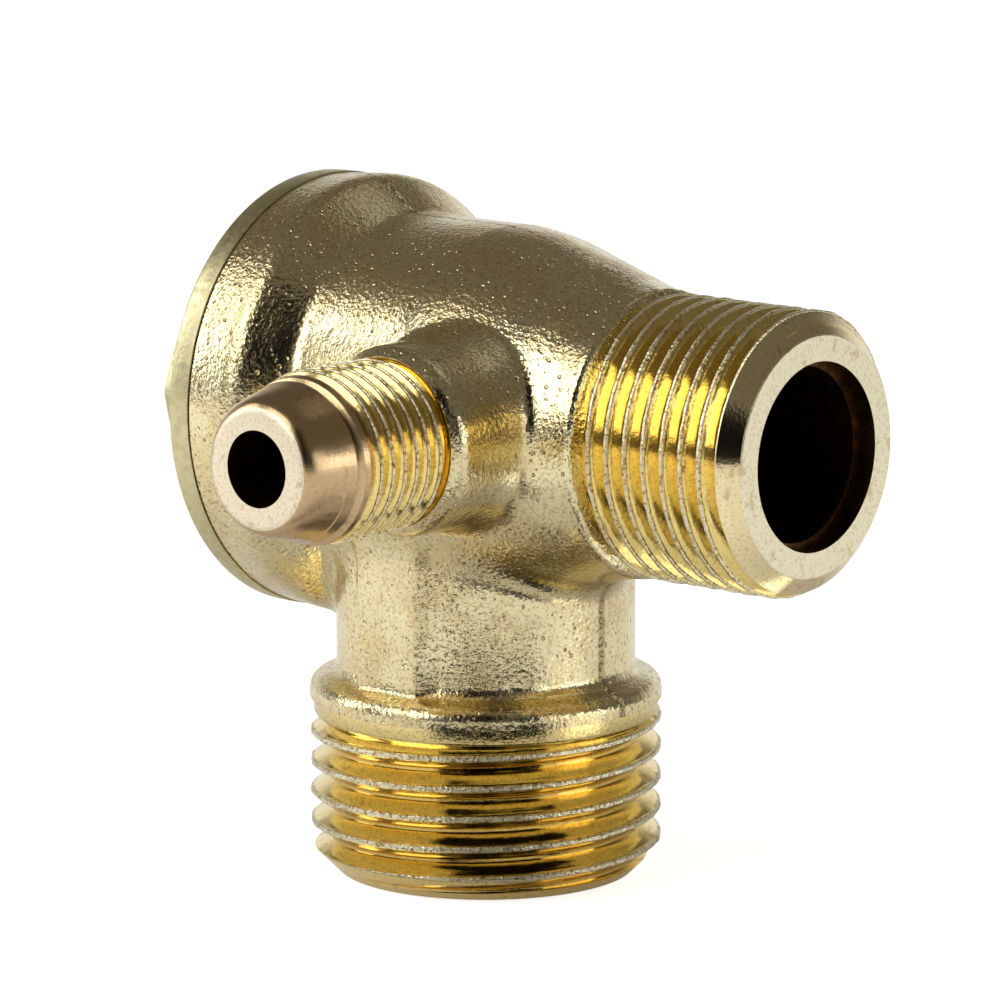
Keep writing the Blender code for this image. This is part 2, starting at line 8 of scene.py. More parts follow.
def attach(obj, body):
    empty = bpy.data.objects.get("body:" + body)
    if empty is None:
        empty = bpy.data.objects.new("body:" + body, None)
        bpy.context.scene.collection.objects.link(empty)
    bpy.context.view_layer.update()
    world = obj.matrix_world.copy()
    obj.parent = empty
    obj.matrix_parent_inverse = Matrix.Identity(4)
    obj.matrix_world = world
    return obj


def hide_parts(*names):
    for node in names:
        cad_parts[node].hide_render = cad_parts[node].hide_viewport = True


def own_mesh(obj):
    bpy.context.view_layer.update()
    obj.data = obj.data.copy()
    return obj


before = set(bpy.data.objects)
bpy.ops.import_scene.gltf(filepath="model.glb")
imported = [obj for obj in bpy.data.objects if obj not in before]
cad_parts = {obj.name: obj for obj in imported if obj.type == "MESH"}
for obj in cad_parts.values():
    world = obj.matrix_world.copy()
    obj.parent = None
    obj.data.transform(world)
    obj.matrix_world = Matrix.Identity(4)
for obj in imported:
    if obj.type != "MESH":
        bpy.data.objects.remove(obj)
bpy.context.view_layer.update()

MM = 0.001

# Valve body: one hot brass forging with a sandy skin. The three threads, the plain band, the end
# faces and the bores are turned in it, and the whole piece is then plated pale gold.
AXIS_HEIGHT = 27.7
UNLOADER_OFFSET = 4.9
UNLOADER_HEIGHT = 28.2
JOINT_FACE = -11.8
INLET_FACE = 24.7
UNLOADER_REACH = 25.4
COLLAR_UNDERSIDE = 10.5
BOSS_END = 14.6
TANK_CREST = 10.48
INLET_CREST = 8.33
UNLOADER_CREST = 5.0
THREAD_DEPTH_IN_PITCHES = 0.64
SKIN_STEP = 0.26
RING_STEPS = 160

tank_place = Matrix.Identity(4)
inlet_place = Matrix.Translation((0, 0, AXIS_HEIGHT)) @ Matrix.Rotation(math.pi / 2, 4, "Y")
unloader_place = (
    Matrix.Translation((UNLOADER_OFFSET, 0, UNLOADER_HEIGHT)) @ Matrix.Rotation(math.pi / 2, 4, "X")
)


def soften(outline, points=5):
    """Rounds the corners of (height, radius, set-back) points into short curves."""
    soft = []
    for k, (height, radius, back) in enumerate(outline):
        here = np.array((height, radius))
        if not back:
            soft.append(tuple(here))
            continue
        before = np.array(outline[k - 1][:2])
        after = np.array(outline[k + 1][:2])
        enter = here + (before - here) / np.linalg.norm(before - here) * back
        leave = here + (after - here) / np.linalg.norm(after - here) * back
        for t in np.linspace(0, 1, points):
            curve = (1 - t) ** 2 * enter + 2 * t * (1 - t) * here + t**2 * leave
            soft.append(tuple(curve))
    return soft


def make_piece(name, points, faces, place=tank_place, skin=0):
    """A mesh object in metres from points in millimetres, with one finish index for all its faces."""
    mesh = bpy.data.meshes.new(name)
    mesh.from_pydata([tuple(p) for p in points], [], faces)
    mesh.transform(Matrix.Scale(MM, 4) @ place)
    mesh.polygons.foreach_set("material_index", [skin] * len(mesh.polygons))
    piece = bpy.data.objects.new(name, mesh)
    bpy.context.scene.collection.objects.link(piece)
    return piece


def turn(name, outline, place=tank_place, skin=0, steps=RING_STEPS):
    """A turned solid from (height, radius) points, upwards; its first and last radius is nought."""
    angles = np.linspace(0, 2 * math.pi, steps, endpoint=False)
    points = [(0, 0, outline[0][0])]
    for height, radius in outline[1:-1]:
        ring = [(radius * math.cos(a), radius * math.sin(a), height) for a in angles]
        points.extend(ring)
    points.append((0, 0, outline[-1][0]))
    faces = []
    last = len(points) - 1
    top = last - steps
    for k in range(steps):
        after = (k + 1) % steps
        faces.append((0, 1 + after, 1 + k))
        faces.append((last, top + k, top + after))
        for ring in range(1, top, steps):
            faces.append((ring + k, ring + after, ring + steps + after, ring + steps + k))
    return make_piece(name, points, faces, place, skin)


def combine(piece, operation, other):
    """Joins, cuts or trims a piece by another one, and removes the other one."""
    step = piece.modifiers.new("join", "BOOLEAN")
    step.operation = operation
    step.solver = "MANIFOLD"
    step.object = other
    made = bpy.data.meshes.new_from_object(piece.evaluated_get(bpy.context.evaluated_depsgraph_get()))
    piece.modifiers.clear()
    piece.data = made
    bpy.data.objects.remove(other)


# The skin's forms, each an outline about its own axis
trunk_outline = soften([
    (JOINT_FACE - 1.5, 0, 0),
    (JOINT_FACE - 1.5, 12.95, 0),
    (JOINT_FACE, 13.1, 0),
    (-8.5, 13.35, 0.7),
    (-5.55, 11.2, 0.45),
    (1.9, 11.2, 0),
    (3.9, 10.98, 1.2),
    (12.1, 8.55, 1.0),
    (13.3, 8.47, 0.2),
    (13.7, 7.35, 0),
    (13.7, 0, 0),
])
neck_outline = soften([
    (COLLAR_UNDERSIDE - 1.0, 0, 0),
    (COLLAR_UNDERSIDE - 1.0, 10.5, 0),
    (11.55, 10.55, 0.65),
    (12.05, 9.2, 0.15),
    (12.5, 8.93, 0.2),
    (AXIS_HEIGHT, 8.93, 0),
    (AXIS_HEIGHT, 0, 0),
])
boss_outline = soften([
    (2.0, 0, 0),
    (2.0, 6.2, 0),
    (8.3, 6.1, 0),
    (10.2, 5.6, 0.8),
    (BOSS_END - 0.6, 5.55, 0.4),
    (BOSS_END, 5.0, 0),
    (BOSS_END + 0.8, 4.4, 0),
    (BOSS_END + 0.8, 0, 0),
])
land_plan = [(-2.5, -8.5), (-2.1, -9.16), (2.25, -9.16), (3.1, -8.3), (3.1, 0), (-2.5, 0)]
LAND_HEIGHTS = (11.7, 24.0)
BOSS_ROOT = 0.35
NECK_ROOT = 1.1
LAND_ROOT = 0.25


def distance_in_plane(points, outline):
    """Signed distance from points to a closed outline in its own plane, negative inside."""
    nearest = np.full(len(points), np.inf)
    inside = np.zeros(len(points), bool)
    for start, end in zip(outline, outline[1:] + outline[:1]):
        start = np.array(start, float)
        edge = np.array(end, float) - start
        if not edge.any():
            continue
        away = points - start
        share = np.clip(away @ edge / (edge @ edge), 0, 1)
        nearest = np.minimum(nearest, ((away - share[:, None] * edge) ** 2).sum(1))
        crosses = (start[1] <= points[:, 1]) != (start[1] + edge[1] <= points[:, 1])
        climb = np.where(edge[1] == 0, 1, edge[1])
        side = start[0] + edge[0] * (points[:, 1] - start[1]) / climb
        inside ^= crosses & (points[:, 0] < side)
    return np.where(inside, -1, 1) * np.sqrt(nearest)


def fillet(first, second, radius):
    """Union of two distances with a hollow round of that radius where they meet."""
    near_first = np.maximum(radius - first, 0)
    near_second = np.maximum(radius - second, 0)
    return np.maximum(radius, np.minimum(first, second)) - np.hypot(near_first, near_second)


def skin_distance(points):
    """Signed distance in millimetres to the forging's skin, before anything is turned in it."""
    x, y, z = points.T
    trunk = distance_in_plane(np.stack([x, np.hypot(y, z - AXIS_HEIGHT)], 1), trunk_outline)
    neck = distance_in_plane(np.stack([z, np.hypot(x, y)], 1), neck_outline)
    across = np.hypot(x - UNLOADER_OFFSET, z - UNLOADER_HEIGHT)
    boss = distance_in_plane(np.stack([-y, across], 1), boss_outline)
    land = distance_in_plane(np.stack([x, y], 1), land_plan)
    ends = np.maximum(LAND_HEIGHTS[0] - z, z - LAND_HEIGHTS[1])
    land = np.maximum(land, ends)
    neck = fillet(neck, land, LAND_ROOT)
    return fillet(fillet(trunk, boss, BOSS_ROOT), neck, NECK_ROOT)


def skin_slope(points, step=0.02):
    """Direction in which the distance to the skin grows fastest, taken over small steps."""
    slope = np.empty_like(points)
    for k in range(3):
        shift = np.zeros(3)
        shift[k] = step
        slope[:, k] = (skin_distance(points + shift) - skin_distance(points - shift)) / (2 * step)
    return slope / np.maximum(np.linalg.norm(slope, axis=1), 0.2)[:, None]


def draw_onto_skin(mesh, rounds=4):
    """Evens a mesh out and draws its points onto the rounded skin."""
    points = np.empty(len(mesh.vertices) * 3)
    mesh.vertices.foreach_get("co", points)
    points = points.reshape(-1, 3) / MM
    edges = np.empty(len(mesh.edges) * 2, int)
    mesh.edges.foreach_get("vertices", edges)
    edges = edges.reshape(-1, 2)
    count = np.bincount(edges.ravel(), minlength=len(points))[:, None]
    for _ in range(rounds):
        total = np.zeros_like(points)
        np.add.at(total, edges[:, 0], points[edges[:, 1]])
        np.add.at(total, edges[:, 1], points[edges[:, 0]])
        points += 0.5 * (total / count - points)
        for _ in range(2):
            points -= skin_slope(points) * skin_distance(points)[:, None]
    mesh.vertices.foreach_set("co", (points * MM).ravel())
    mesh.update()


def forged_skin():
    """The solid forging: its forms joined, remeshed evenly and drawn onto the rounded skin."""
    forging = turn("forging", trunk_outline, inlet_place)
    combine(forging, "UNION", turn("neck", neck_outline, tank_place))
    combine(forging, "UNION", turn("boss", boss_outline, unloader_place))
    remesh = forging.modifiers.new("even", "REMESH")
    remesh.mode = "VOXEL"
    remesh.voxel_size = SKIN_STEP * MM
    graph = bpy.context.evaluated_depsgraph_get()
    forging.data = bpy.data.meshes.new_from_object(forging.evaluated_get(graph))
    forging.modifiers.clear()
    draw_onto_skin(forging.data)
    return forging


# One pitch of thread form, as (place along the pitch, height from root to crest) shares
THREAD_FORM = [
    (-0.11, 0.90), (-0.055, 1.0), (0.055, 1.0), (0.11, 0.90), (0.25, 0.50),
    (0.40, 0.08), (0.46, 0.0), (0.54, 0.0), (0.60, 0.08), (0.75, 0.50),
]


def thread_rod(name, place, crest, pitch, low, high, phase, steps, roughness):
    """A right-handed threaded rod: one thread form swept along a helix, closed at both ends."""
    depth = THREAD_DEPTH_IN_PITCHES * pitch
    share = len(THREAD_FORM)
    first = math.floor(low / pitch) - 1
    turns = math.ceil((high - low) / pitch) + 2
    count = turns * steps + 1
    chance = np.random.default_rng(int(pitch * 1000))
    wear = np.convolve(chance.normal(0, roughness, count + 4), [0.25, 0.5, 0.25], "same")[:count]
    points = []
    for j in range(count):
        angle = 2 * math.pi * j / steps
        for along, raised in THREAD_FORM:
            radius = crest - depth * (1 - raised) + wear[j] * (raised > 0.8)
            height = phase + pitch * (first + j / steps + along)
            points.append((radius * math.cos(angle), radius * math.sin(angle), height))
    faces = []
    for j in range(count - 1):
        for k in range(share):
            here = j * share + k
            above = j * share + k + 1 if k + 1 < share else (j + steps) * share
            if k + 1 == share and j + steps + 1 >= count:
                continue
            faces.append((here, here + share, above + share, above))
    foot = [j * share for j in range(steps + 1)]
    foot += list(range(share - 1, 0, -1))
    head = [(count - 1) * share + k for k in range(share)]
    head += [j * share + share - 1 for j in range(count - 2, count - steps - 2, -1)]
    points.append((0, 0, phase + pitch * (first - 1.0)))
    points.append((0, 0, phase + pitch * (first + turns + 1.0)))
    bottom = len(points) - 2
    ceiling = len(points) - 1
    for k in range(len(foot)):
        faces.append((bottom, foot[(k + 1) % len(foot)], foot[k]))
    for k in range(len(head)):
        faces.append((ceiling, head[(k + 1) % len(head)], head[k]))
    return make_piece(name, points, faces, place, 1)


def screw_end(name, blank, place, **thread):
    """A turned blank with a thread cut in it: the threaded rod, trimmed to the blank's outline."""
    end = thread_rod(name, place, **thread)
    combine(end, "INTERSECT", turn("blank", blank, place, 1))
    return end


# The forging, with its three ends cut flat where the machined ends begin
valve_body = forged_skin()
valve_body.name = "valve_body_forging"
joint_cut = [(JOINT_FACE - 4, 0), (JOINT_FACE - 4, 15), (JOINT_FACE, 15), (JOINT_FACE, 0)]
combine(valve_body, "DIFFERENCE", turn("joint cut", joint_cut, inlet_place, 1))
collar_cut = [(8.0, 0), (8.0, 12), (COLLAR_UNDERSIDE, 12), (COLLAR_UNDERSIDE, 0)]
combine(valve_body, "DIFFERENCE", turn("collar cut", collar_cut, tank_place, 1))
boss_cut = [(BOSS_END, 0), (BOSS_END, 8), (BOSS_END + 3, 8), (BOSS_END + 3, 0)]
combine(valve_body, "DIFFERENCE", turn("boss cut", boss_cut, unloader_place, 1))

# The three ports, each a turned blank with its thread, and the plain parts beside the threads
tank_blank = [(0, 0), (0, 8.9), (1.3, 10.2), (1.6, 10.52), (9.75, 10.52), (9.75, 0)]
tank_end = screw_end(
    "tank end", tank_blank, tank_place,
    crest=TANK_CREST, pitch=1.814, low=-0.5, high=10.5, phase=0.0, steps=240, roughness=0.035,
)
plain_band = [
    (8.6, 0), (8.6, 9.1), (9.45, 10.15), (9.6, 10.26), (9.7, 10.29), (COLLAR_UNDERSIDE + 0.01, 10.29),
    (COLLAR_UNDERSIDE + 0.01, 9.2), (12.6, 8.0), (12.6, 0),
]
combine(tank_end, "UNION", turn("plain band", plain_band, tank_place, 1))
combine(valve_body, "UNION", tank_end)

inlet_blank = [
    (10.5, 0), (10.5, 7.2), (13.6, 7.42), (14.3, 8.37), (23.62, 8.37), (INLET_FACE, 6.95),
    (INLET_FACE, 0),
]
inlet_end = screw_end(
    "inlet end", inlet_blank, inlet_place,
    crest=INLET_CREST, pitch=1.337, low=10.0, high=25.5, phase=0.216, steps=200, roughness=0.030,
)
combine(valve_body, "UNION", inlet_end)

nose_end = [
    (UNLOADER_REACH - before, radius)
    for before, radius in (
        (2.6, 4.45), (1.43, 4.18), (0.75, 3.98), (0.3, 3.74), (0.08, 3.45), (0, 3.15), (0, 0),
    )
]
unloader_blank = [
    (BOSS_END - 3.4, 0), (BOSS_END - 3.4, 4.2), (BOSS_END - 0.1, 4.25), (BOSS_END + 0.35, 5.02),
    (BOSS_END + 6.1, 5.02), *nose_end,
]
unloader_end = screw_end(
    "unloader end", unloader_blank, unloader_place,
    crest=UNLOADER_CREST, pitch=1.0, low=10.0, high=23.4, phase=0.41, steps=120, roughness=0.012,
)
nose = [(UNLOADER_REACH - 5.2, 0), (UNLOADER_REACH - 5.2, 4.2), (UNLOADER_REACH - 3.2, 4.4), *nose_end]
combine(unloader_end, "UNION", turn("nose", nose, unloader_place, 1))
combine(valve_body, "UNION", unloader_end)

# Bores: the cap's mouth with its ring pocket and plain thread bore, the chamber, the seat lip and the
# inlet
main_bore = [
    (-13.0, 0), (-13.0, 11.45), (-10.3, 11.45), (-10.3, 10.0), (-7.2, 10.0), (-6.4, 8.6), (0.2, 8.6),
    (0.2, 6.4), (-0.6, 6.1), (-0.6, 5.1), (23.4, 5.1), (23.4, 5.4), (24.6, 5.48), (25.8, 5.6), (25.8, 0),
]
combine(valve_body, "DIFFERENCE", turn("main bore", main_bore, inlet_place, 2))
tank_bore = [(-1, 0), (-1, 7.2), (19.2, 7.2), (20.4, 6.0), (20.8, 0)]
combine(valve_body, "DIFFERENCE", turn("tank bore", tank_bore, tank_place, 2))
unloader_bore = [(1, 0), (1, 2.2), (UNLOADER_REACH + 1, 2.2), (UNLOADER_REACH + 1, 0)]
combine(valve_body, "DIFFERENCE", turn("unloader bore", unloader_bore, unloader_place, 2, 64))
valve_body.data.shade_smooth()
valve_body.data.set_sharp_from_angle(angle=math.radians(36))

# Finish of the body: plating over a sandy forged skin, over turned faces, and over bores painted dark
# for the shade inside them. The plating is worn off the crests of the threads and stained brown in
# specks, and the roots are painted a deeper gold for the light bounced between the flanks


def calc(tree, operation, *values):
    """One Math node; each value is a socket or a number."""
    node = tree.nodes.new("ShaderNodeMath")
    node.operation = operation
    for socket, value in zip(node.inputs, values):
        if isinstance(value, (int, float)):
            socket.default_value = value
        else:
            tree.links.new(value, socket)
    return node.outputs[0]


def rise(tree, value, low, high, start=0.0, end=1.0):
    """Smooth change from start to end while the value goes from low to high."""
    node = tree.nodes.new("ShaderNodeMapRange")
    node.interpolation_type = "SMOOTHSTEP"
    tree.links.new(value, node.inputs["Value"])
    for name, number in (("From Min", low), ("From Max", high), ("To Min", start), ("To Max", end)):
        node.inputs[name].default_value = number
    return node.outputs[0]


def grain(tree, where, scale, detail=2.0, roughness=0.5, dimensions="3D"):
    """Fractal noise, as a number from nought to one."""
    node = tree.nodes.new("ShaderNodeTexNoise")
    node.noise_dimensions = dimensions
    tree.links.new(where, node.inputs["W" if dimensions == "1D" else "Vector"])
    node.inputs["Scale"].default_value = scale
    node.inputs["Detail"].default_value = detail
    node.inputs["Roughness"].default_value = roughness
    return node.outputs[0]


def cells(tree, where, scale):
    """Distance to the nearest of many scattered points, as a share of their spacing."""
    node = tree.nodes.new("ShaderNodeTexVoronoi")
    tree.links.new(where, node.inputs["Vector"])
    node.inputs["Scale"].default_value = scale
    return node.outputs["Distance"]


def blend(tree, share, first, second):
    """Mixes two colours, each a socket or three numbers."""
    node = tree.nodes.new("ShaderNodeMix")
    node.data_type = "RGBA"
    tree.links.new(share, node.inputs[0])
    for socket, value in ((node.inputs[6], first), (node.inputs[7], second)):
        if isinstance(value, tuple):
            socket.default_value = (*value, 1)
        else:
            tree.links.new(value, socket)
    return node.outputs[2]


def relief(tree, height, distance, below=None):
    """Bump from a height, whose full range is that many metres."""
    node = tree.nodes.new("ShaderNodeBump")
    node.inputs["Distance"].default_value = distance
    tree.links.new(height, node.inputs["Height"])
    if below:
        tree.links.new(below, node.inputs["Normal"])
    return node.outputs[0]


def effect_group(name, outputs):
    """An empty node group whose outputs are named with their socket types."""
    group = bpy.data.node_groups.new(name, "ShaderNodeTree")
    for title, kind in outputs:
        group.interface.new_socket(title, in_out="OUTPUT", socket_type="NodeSocket" + kind)
    return group, group.nodes.new("NodeGroupOutput")


def use(tree, group):
    """The outputs of an effect group that is put into a material."""
    node = tree.nodes.new("ShaderNodeGroup")
    node.node_tree = group
    return node.outputs


def in_millimetres(tree):
    """Place on the piece, in millimetres."""
    coordinates = tree.nodes.new("ShaderNodeTexCoord")
    scale = tree.nodes.new("ShaderNodeVectorMath")
    scale.operation = "SCALE"
    scale.inputs["Scale"].default_value = 1000
    tree.links.new(coordinates.outputs["Object"], scale.inputs[0])
    return scale.outputs[0]


def give_finishes(piece, materials):
    """Fills a piece's material slots in the order of its finish indices."""
    finish = [0] * len(piece.data.polygons)
    piece.data.polygons.foreach_get("material_index", finish)
    piece.data.materials.clear()
    for material in materials:
        piece.data.materials.append(material)
    piece.data.polygons.foreach_set("material_index", finish)


def finish_material(name):
    """A new material: its tree and its shader."""
    made = bpy.data.materials.new(name)
    made.use_nodes = True
    return made, made.node_tree, made.node_tree.nodes["Principled BSDF"]


def sandy_skin():
    """Sandblasted forging skin: round grains, small pits, slow waves, and the flash of the dies."""
    titles = ("Height", "Shade and speckle", "Patches")
    group, out = effect_group("sandy skin", [(title, "Float") for title in titles])
    place = in_millimetres(group)
    coarse = rise(group, grain(group, place, 0.16, 2.0), 0.35, 0.65, 0.5, 1.3)
    grains = cells(group, place, 3.4)
    small = cells(group, place, 7.0)
    waves = grain(group, place, 0.5, 1.0)
    wide_spots = rise(group, cells(group, place, 1.3), 0.20, 0.09)
    fine_spots = rise(group, cells(group, place, 2.3), 0.19, 0.09)
    spots = calc(group, "MAXIMUM", wide_spots, fine_spots)
    pits = calc(group, "MULTIPLY", spots, rise(group, grain(group, place, 0.35, 2.0), 0.36, 0.56))
    height = calc(group, "MULTIPLY", calc(group, "MULTIPLY_ADD", small, 0.5, grains), coarse)
    dull = rise(group, grain(group, place, 4.5, 2.0, 0.6), 0.5, 0.36, 0.0, 0.6)
    # Painted shade: the pits sunk by the bump below are darkened; dull adds a random dark speckle
    shade_and_speckle = calc(group, "MAXIMUM", pits, dull)
    height = calc(group, "MULTIPLY_ADD", grain(group, place, 2.0, 1.0), 0.8, height)
    height = calc(group, "MULTIPLY_ADD", waves, 1.6, height)
    height = calc(group, "MULTIPLY_ADD", pits, -3.0, height)
    split = group.nodes.new("ShaderNodeSeparateXYZ")
    group.links.new(place, split.inputs[0])
    from_parting = calc(group, "ABSOLUTE", split.outputs[1])
    flash = rise(group, from_parting, 0.32, 0.05)
    broken = rise(group, grain(group, place, 2.2, 2.0), 0.46, 0.60)
    height = calc(group, "MULTIPLY_ADD", calc(group, "MULTIPLY", flash, broken), 9.0, height)
    group.links.new(height, out.inputs["Height"])
    # Painted shade along the parting flash joins the darkening
    beside_flash = rise(group, from_parting, 0.42, 0.2, 0.0, 0.8)
    shade_and_speckle = calc(group, "MAXIMUM", shade_and_speckle, beside_flash)
    group.links.new(shade_and_speckle, out.inputs["Shade and speckle"])
    group.links.new(grain(group, place, 0.32, 4.0, 0.6), out.inputs["Patches"])
    return group


# Where the finish changes along the ports, in millimetres, and the depth of each thread's valleys
INLET_ZONE = 12.9
INLET_CHAMFER = (23.4, 23.8)
TANK_CHAMFER = (0.7, 0.3)
NOSE_LENGTH = (4.8, 4.3)
THREAD_DEPTHS = (1.16, 0.86, 0.64)


def port_rings():
    """Where a point lies on the turned ports: tool rings, thread crests, roots, end faces, the nose."""
    titles = ("Rings", "Crest", "Root", "Pale", "Face", "Nose")
    group, out = effect_group("port rings", [(title, "Float") for title in titles])
    split = group.nodes.new("ShaderNodeSeparateXYZ")
    group.links.new(in_millimetres(group), split.inputs[0])
    x, y, z = split.outputs
    up = calc(group, "SUBTRACT", z, AXIS_HEIGHT)
    higher = calc(group, "SUBTRACT", z, UNLOADER_HEIGHT)
    aside = calc(group, "SUBTRACT", x, UNLOADER_OFFSET)

    def across(a, b):
        return calc(group, "SQRT", calc(group, "MULTIPLY_ADD", a, a, calc(group, "MULTIPLY", b, b)))

    at_inlet = calc(group, "GREATER_THAN", x, INLET_ZONE)
    at_unloader = calc(group, "LESS_THAN", y, 0.1 - BOSS_END)

    def choose(tank, inlet, unloader):
        change = calc(group, "SUBTRACT", inlet, tank)
        first = calc(group, "ADD", tank, calc(group, "MULTIPLY", at_inlet, change))
        change = calc(group, "SUBTRACT", unloader, first)
        return calc(group, "ADD", first, calc(group, "MULTIPLY", at_unloader, change))

    radius = choose(across(x, y), across(y, up), across(aside, higher))
    along = choose(z, x, y)
    crest = choose(TANK_CREST, INLET_CREST, UNLOADER_CREST)
    depth = choose(*THREAD_DEPTHS)
    below = calc(group, "DIVIDE", calc(group, "SUBTRACT", crest, radius), depth)
    travel = calc(group, "ADD", along, calc(group, "MULTIPLY", radius, 0.8))
    rings = grain(group, travel, 9.0, 2.0, 0.7, "1D")
    group.links.new(rings, out.inputs["Rings"])
    group.links.new(rise(group, below, 0.20, 0.06), out.inputs["Crest"])
    group.links.new(rise(group, below, 0.55, 0.95), out.inputs["Root"])
    inlet_face = calc(group, "GREATER_THAN", x, INLET_FACE - 0.06)
    nose_rim = calc(group, "LESS_THAN", y, 0.1 - UNLOADER_REACH)
    group.links.new(calc(group, "MAXIMUM", inlet_face, nose_rim), out.inputs["Face"])
    pale = calc(group, "MAXIMUM", rise(group, x, *INLET_CHAMFER, 0.0, 0.6), inlet_face)
    pale = calc(group, "MAXIMUM", pale, nose_rim)
    pale = calc(group, "MAXIMUM", pale, rise(group, z, *TANK_CHAMFER, 0.0, 0.4))
    group.links.new(pale, out.inputs["Pale"])
    nose_from, nose_full = (length - UNLOADER_REACH for length in NOSE_LENGTH)
    group.links.new(rise(group, y, nose_from, nose_full), out.inputs["Nose"])
    return group


skin_group = sandy_skin()
ring_group = port_rings()

# Forged skin: pale gold with slow changes of tone, and painted brown shade in its pits and along the
# flash
forged, tree, shader = finish_material("plated forged skin")
skin = use(tree, skin_group)
shader.inputs["Metallic"].default_value = 1.0
tone = blend(tree, rise(tree, skin["Patches"], 0.38, 0.62), (0.84, 0.75, 0.46), (0.79, 0.65, 0.36))
# Painted shade in the pits and along the flash, with a random speckle, turns the skin towards brown
shade_and_speckle_share = calc(tree, "MULTIPLY", skin["Shade and speckle"], 0.7)
tree.links.new(blend(tree, shade_and_speckle_share, tone, (0.34, 0.24, 0.10)), shader.inputs["Base Color"])
tree.links.new(rise(tree, skin["Patches"], 0.3, 0.7, 0.15, 0.24), shader.inputs["Roughness"])
tree.links.new(relief(tree, skin["Height"], 0.000022), shader.inputs["Normal"])

# Turned surfaces: paler on worn crests and faces, a deeper gold painted in the roots, tan on the nose
machined, tree, shader = finish_material("plated turned brass")
rings = use(tree, ring_group)
place = in_millimetres(tree)
shader.inputs["Metallic"].default_value = 1.0
fine = grain(tree, place, 5.0, 3.0, 0.65)
cloud = grain(tree, place, 1.1, 3.0, 0.6)
worn = calc(tree, "MAXIMUM", rings["Crest"], rings["Face"])
bright = calc(tree, "MAXIMUM", rings["Crest"], rings["Pale"])
# Painted light: the roots are a deeper gold, standing in for light bounced between the thread flanks
tone = blend(tree, rings["Root"], (0.88, 0.70, 0.27), (0.84, 0.60, 0.17))
tone = blend(tree, calc(tree, "MULTIPLY", bright, 0.9), tone, (0.93, 0.88, 0.66))
nose_tone = blend(tree, rings["Face"], (0.60, 0.43, 0.24), (0.90, 0.80, 0.60))
tone = blend(tree, rings["Nose"], tone, nose_tone)
specks = calc(tree, "MULTIPLY_ADD", rings["Crest"], 0.6, 0.3)
stain = calc(tree, "MULTIPLY", rise(tree, fine, 0.53, 0.62), specks)
tone = blend(tree, stain, tone, (0.36, 0.22, 0.07))
blotch = calc(tree, "MULTIPLY", rise(tree, cloud, 0.60, 0.68), 0.4)
tree.links.new(blend(tree, blotch, tone, (0.50, 0.29, 0.10)), shader.inputs["Base Color"])
rough = calc(tree, "MULTIPLY_ADD", rings["Nose"], 0.10, calc(tree, "MULTIPLY_ADD", worn, 0.20, 0.11))
tree.links.new(rough, shader.inputs["Roughness"])
depth = calc(tree, "MULTIPLY_ADD", rings["Nose"], 2.0, 1.0)
marks = relief(tree, calc(tree, "MULTIPLY", rings["Rings"], depth), 0.000003)
hit = calc(tree, "ADD", rings["Crest"], calc(tree, "MULTIPLY_ADD", rings["Face"], 0.12, 0.05))
nicks = calc(tree, "MULTIPLY", grain(tree, place, 5.0, 2.0, 0.6), hit)
tree.links.new(relief(tree, nicks, 0.0001, marks), shader.inputs["Normal"])

# Bores: painted shade; the brass inside is coloured a mottled near-black brown for the shade within
bore_shade, tree, shader = finish_material("bore painted shade")
place = in_millimetres(tree)
shader.inputs["Metallic"].default_value = 1.0
stain = rise(tree, grain(tree, place, 1.6, 3.0, 0.6), 0.35, 0.7)
# Painted shade: two near-black browns, mixed by noise, stand in for the shade inside the bores
tree.links.new(blend(tree, stain, (0.20, 0.10, 0.035), (0.07, 0.035, 0.015)), shader.inputs["Base Color"])
shader.inputs["Roughness"].default_value = 0.38
tree.links.new(relief(tree, grain(tree, place, 3.0, 3.0), 0.00002), shader.inputs["Normal"])

give_finishes(valve_body, (forged, machined, bore_shade))
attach(valve_body, "body")
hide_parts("valve_body")

# Rubber disc: black nitrile, moulded flat with a dull skin. It is pressed into the cup of the
# poppet, and closes on the seat lip in the body
disc_rubber, tree, shader = finish_material("disc rubber")
place = in_millimetres(tree)
shader.inputs["Base Color"].default_value = (0.028, 0.026, 0.024, 1)
dust = grain(tree, place, 2.5, 3.0, 0.6)
tree.links.new(rise(tree, dust, 0.3, 0.7, 0.45, 0.68), shader.inputs["Roughness"])
tree.links.new(relief(tree, dust, 0.00001), shader.inputs["Normal"])
seal_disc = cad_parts["seal_disc"]
seal_disc.data.materials.clear()
seal_disc.data.materials.append(disc_rubber)

# Poppet: turned from brass bar and left bare, so it is yellower than the plated pieces. Its stem
# slides in the cap's guide tube, and fine rings of the turning tool run round it
bare_brass, tree, shader = finish_material("bare turned brass")
place = in_millimetres(tree)
split = tree.nodes.new("ShaderNodeSeparateXYZ")
tree.links.new(place, split.inputs[0])
lines = grain(tree, split.outputs[0], 8.0, 2.0, 0.7, "1D")
shader.inputs["Metallic"].default_value = 1.0
worn = rise(tree, grain(tree, place, 0.8, 3.0), 0.4, 0.7)
tree.links.new(blend(tree, worn, (0.80, 0.60, 0.27), (0.62, 0.43, 0.18)), shader.inputs["Base Color"])
tree.links.new(rise(tree, worn, 0.0, 1.0, 0.24, 0.38), shader.inputs["Roughness"])
tree.links.new(relief(tree, lines, 0.000004), shader.inputs["Normal"])
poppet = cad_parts["poppet"]
poppet.data.materials.clear()
poppet.data.materials.append(bare_brass)

# Closing spring: hard-drawn steel wire, coiled with a closed turn at each end. It stands in the
# cap's pocket round the guide tube, and presses the poppet shut
WIRE_RADIUS = 0.35
COIL_RADIUS = 4.4
SPRING_ENDS = (-13.9, -4.8)
TURNS = 6.5
CLOSED_TURNS = 0.75
WIRE_STEPS = 32
WIRE_SIDES = 12

